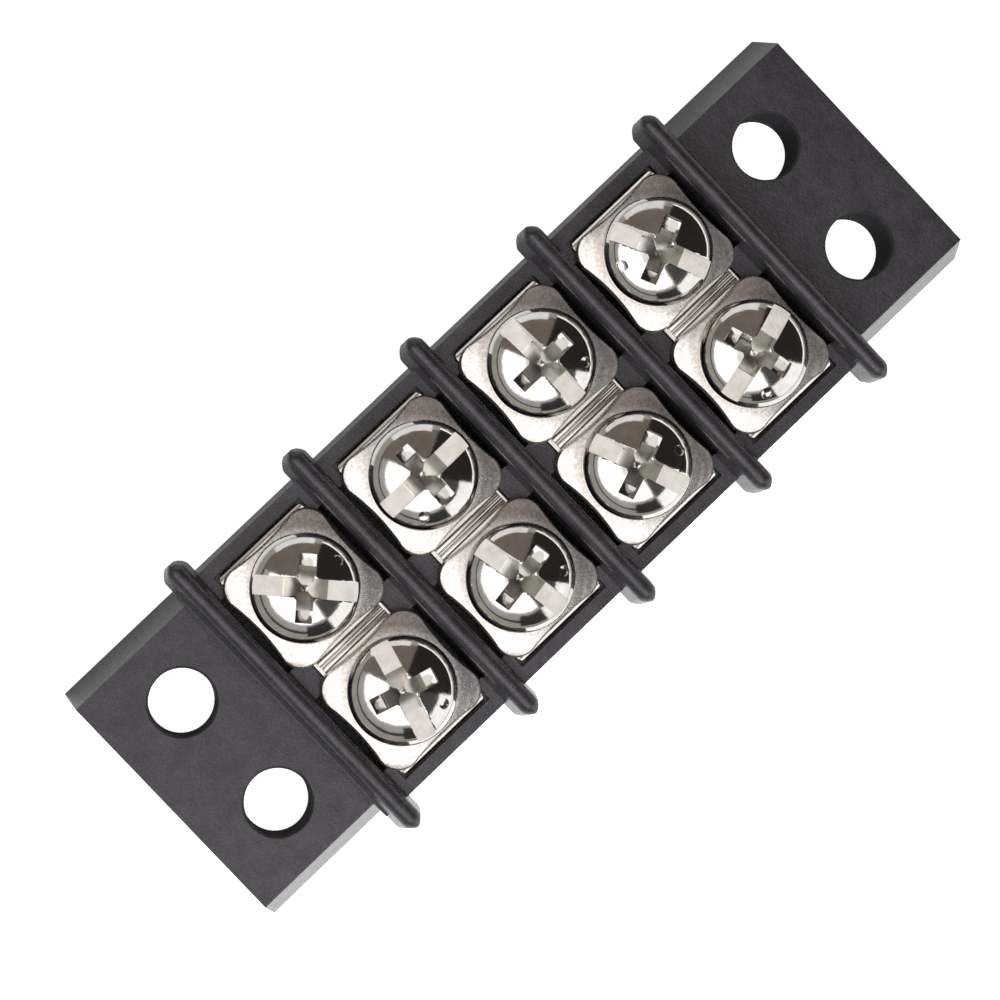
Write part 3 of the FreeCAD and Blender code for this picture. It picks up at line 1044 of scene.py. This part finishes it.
@dataclass
class Lamp:
    """A soft square lamp that looks at the strip."""

    name: str
    azimuth: float
    lean: float
    distance: float
    width: float
    height: float
    strength: float

    def build(self, aim: Vector) -> None:
        """Hangs the lamp.

        Args:
            aim: The point that it looks at.
        """
        data = bpy.data.lights.new(self.name, "AREA")
        data.shape = "RECTANGLE"
        data.size, data.size_y = self.width, self.height
        # A lamp's power is what makes its face shine with its strength.
        data.energy = self.strength * math.pi * self.width * self.height
        lamp = bpy.data.objects.new(self.name, data)
        bpy.context.scene.collection.objects.link(lamp)
        stand_round(lamp, aim, self.azimuth, self.lean, self.distance)
        lamp.visible_camera = False
        lamp.visible_glossy = False


@dataclass
class Panel:
    """A part of the tent that shines evenly, as the bright metal mirrors it."""

    azimuth: tuple[float, float]
    lean: tuple[float, float]
    level: float
    tone: tuple[float, float, float] = (1.0, 1.0, 1.0)

    def holds(self, azimuth: float, lean: float) -> bool:
        """Says whether the panel lies in a direction.

        Args:
            azimuth: The direction's turn in degrees from +X towards +Y.
            lean: Its lean from straight above in degrees.

        Returns:
            Whether it does.
        """
        start, end = self.azimuth
        return (azimuth - start) % 360 <= end - start and self.lean[0] <= lean <= self.lean[1]


def stand_round(lamp: bpy.types.Object, aim: Vector, azimuth: float, lean: float, distance: float) -> None:
    """Places a lamp round the strip so that it looks at a point.

    Args:
        lamp: The lamp.
        aim: The point that it looks at.
        azimuth: Where it stands, in degrees from +X towards +Y.
        lean: How far it leans from straight above, in degrees.
        distance: How far it is from the point.
    """
    round_z, from_top = math.radians(azimuth), math.radians(lean)
    out = math.sin(from_top)
    back = Vector((out * math.cos(round_z), out * math.sin(round_z), math.cos(from_top)))
    lamp.location = aim + back * distance
    lamp.rotation_euler = back.to_track_quat("Z", "Y").to_euler()


@dataclass
class Studio:
    """Pale floor, soft lamps, a tent for the metal to mirror, and the camera over the strip."""

    camera_place: Vector = field(default_factory=lambda: Vector((-20.722, 12.191, 228.881)) * MM)
    camera_aim: Vector = field(default_factory=lambda: Vector((-2.556, 0.011, 9.5)) * MM)
    camera_up: Vector = field(default_factory=lambda: Vector((0.68847, 0.72501, 0.01676)))
    lens: float = 136.8
    sensor: float = 36.0
    clip: tuple[float, float] = (0.01, 10.0)
    floor_size: float = 4.0
    floor_drop: float = 0.02 * MM
    floor_colour: float = 0.50
    floor_glow: float = 0.97
    floor_sheen: float = 0.15
    world_strength: float = 0.35
    lamps: tuple[Lamp, ...] = (
        Lamp("key_lamp", 250, 35, 0.11, 0.066, 0.083, 19.0),
        Lamp("top_lamp", 0, 0, 0.80, 0.30, 0.30, 0.5),
        Lamp("far_lamp", 46, 84, 0.60, 0.50, 0.10, 2.0),
        Lamp("near_lamp", -70, 84, 0.60, 0.50, 0.10, 1.8),
    )
    tent_radius: float = 1.2
    tent_steps: int = 120
    panels: tuple[Panel, ...] = (
        Panel((0, 360), (0, 101), 0.40, (1.0, 0.965, 0.86)),
        Panel((0, 360), (0, 20), 1.12, (1.0, 0.955, 0.94)),
        Panel((-60, 45), (11, 20), 0.5, (1.0, 0.955, 0.94)),
        Panel((110, 262), (14, 41), 1.85),
        Panel((110, 262), (41, 50), 0.45),
        Panel((100, 230), (50, 58), 0.05),
        Panel((230, 265), (44, 76), 0.04),
        Panel((-95, -50), (17, 46), 0.09),
        Panel((-95, -50), (46, 92), 1.4),
        Panel((-50, 25), (17, 72), 0.03, (1.0, 0.80, 0.72)),
        Panel((-50, 25), (75, 84), 1.6, (1.0, 0.96, 0.88)),
        Panel((25, 110), (14, 60), 0.20, (1.0, 0.84, 0.74)),
        Panel((33, 84), (54, 90), 1.0),
    )

    def build(self) -> None:
        """Sets the studio up."""
        self.lay_floor()
        self.fill_world()
        self.raise_tent()
        for lamp in self.lamps:
            lamp.build(self.camera_aim)
        self.set_camera()
        bpy.context.scene.view_settings.view_transform = "Standard"

    def lay_floor(self) -> None:
        """Lays the pale floor, which the camera sees as white with a faint shadow."""
        rest_selection()
        bpy.ops.mesh.primitive_plane_add(size=self.floor_size, location=(0, 0, -self.floor_drop))
        floor = bpy.context.object
        floor.name = "floor"
        settle(floor)
        recipe = Recipe("floor")
        shade = recipe.node("BsdfDiffuse", {"Color": (self.floor_colour,) * 3 + (1,)}).outputs["BSDF"]
        path = recipe.node("LightPath")
        camera, glossy = path.outputs["Is Camera Ray"], path.outputs["Is Glossy Ray"]
        seen = recipe.node("Math", {0: camera, 1: self.floor_glow}, operation="MULTIPLY")
        level = recipe.node("Math", {0: glossy, 1: self.floor_sheen, 2: seen.outputs[0]},
                            operation="MULTIPLY_ADD")
        glow = recipe.node("Emission", {"Color": (1, 1, 1, 1), "Strength": level.outputs[0]})
        both = recipe.node("AddShader", {0: shade, 1: glow.outputs["Emission"]})
        recipe.node("OutputMaterial", {"Surface": both.outputs["Shader"]})
        floor.data.materials.append(recipe.material)

    def raise_tent(self) -> None:
        """Raises a round tent whose panels only the mirrored light meets."""
        rest_selection()
        bpy.ops.mesh.primitive_uv_sphere_add(segments=self.tent_steps, ring_count=self.tent_steps // 2,
                                             radius=self.tent_radius, location=self.camera_aim)
        tent = bpy.context.object
        tent.name = "tent"
        for panel in self.panels:
            recipe = Recipe("tent_panel")
            glow = recipe.node("Emission", {"Color": (*panel.tone, 1), "Strength": panel.level})
            recipe.node("OutputMaterial", {"Surface": glow.outputs["Emission"]})
            tent.data.materials.append(recipe.material)
        open_faces = []
        for face in tent.data.polygons:
            azimuth = math.degrees(math.atan2(face.center.y, face.center.x))
            lean = math.degrees(face.center.angle(Vector((0, 0, 1))))
            holders = [index for index, panel in enumerate(self.panels) if panel.holds(azimuth, lean)]
            if holders:
                face.material_index = holders[-1]
            open_faces.append(not holders)
        pick_faces(tent, lambda face: open_faces[face.index])
        with editing(tent):
            bpy.ops.mesh.delete(type="FACE")
        tent.visible_camera = tent.visible_diffuse = tent.visible_shadow = False

    def fill_world(self) -> None:
        """Fills the air with plain light, which the camera sees as white."""
        world = bpy.data.worlds.new("studio")
        world.use_nodes = True
        bpy.context.scene.world = world
        nodes, links = world.node_tree.nodes, world.node_tree.links
        back = nodes["Background"]
        path = nodes.new("ShaderNodeLightPath")
        level = nodes.new("ShaderNodeMapRange")
        level.inputs["To Min"].default_value = self.world_strength
        level.inputs["To Max"].default_value = 1.0
        links.new(path.outputs["Is Camera Ray"], level.inputs["Value"])
        links.new(level.outputs["Result"], back.inputs["Strength"])
        back.inputs["Color"].default_value = (1, 1, 1, 1)

    def set_camera(self) -> None:
        """Sets the camera up at the photograph's angle."""
        data = bpy.data.cameras.new("camera")
        data.lens, data.sensor_width = self.lens, self.sensor
        data.clip_start, data.clip_end = self.clip
        camera = bpy.data.objects.new("camera", data)
        bpy.context.scene.collection.objects.link(camera)
        back = (self.camera_place - self.camera_aim).normalized()
        right = self.camera_up.cross(back).normalized()
        up = back.cross(right)
        turned = Matrix((right, up, back)).transposed().to_4x4()
        camera.matrix_world = Matrix.Translation(self.camera_place) @ turned
        bpy.context.scene.camera = camera


def main() -> None:
    """Builds the studio and the pieces in order."""
    logging.basicConfig(level=logging.INFO, format="%(name)s: %(message)s")
    Studio().build()
    for part in (Moulding(), TerminalPlate(), Washer(), Screw()):
        part.build()


if __name__ == "__main__":
    main()
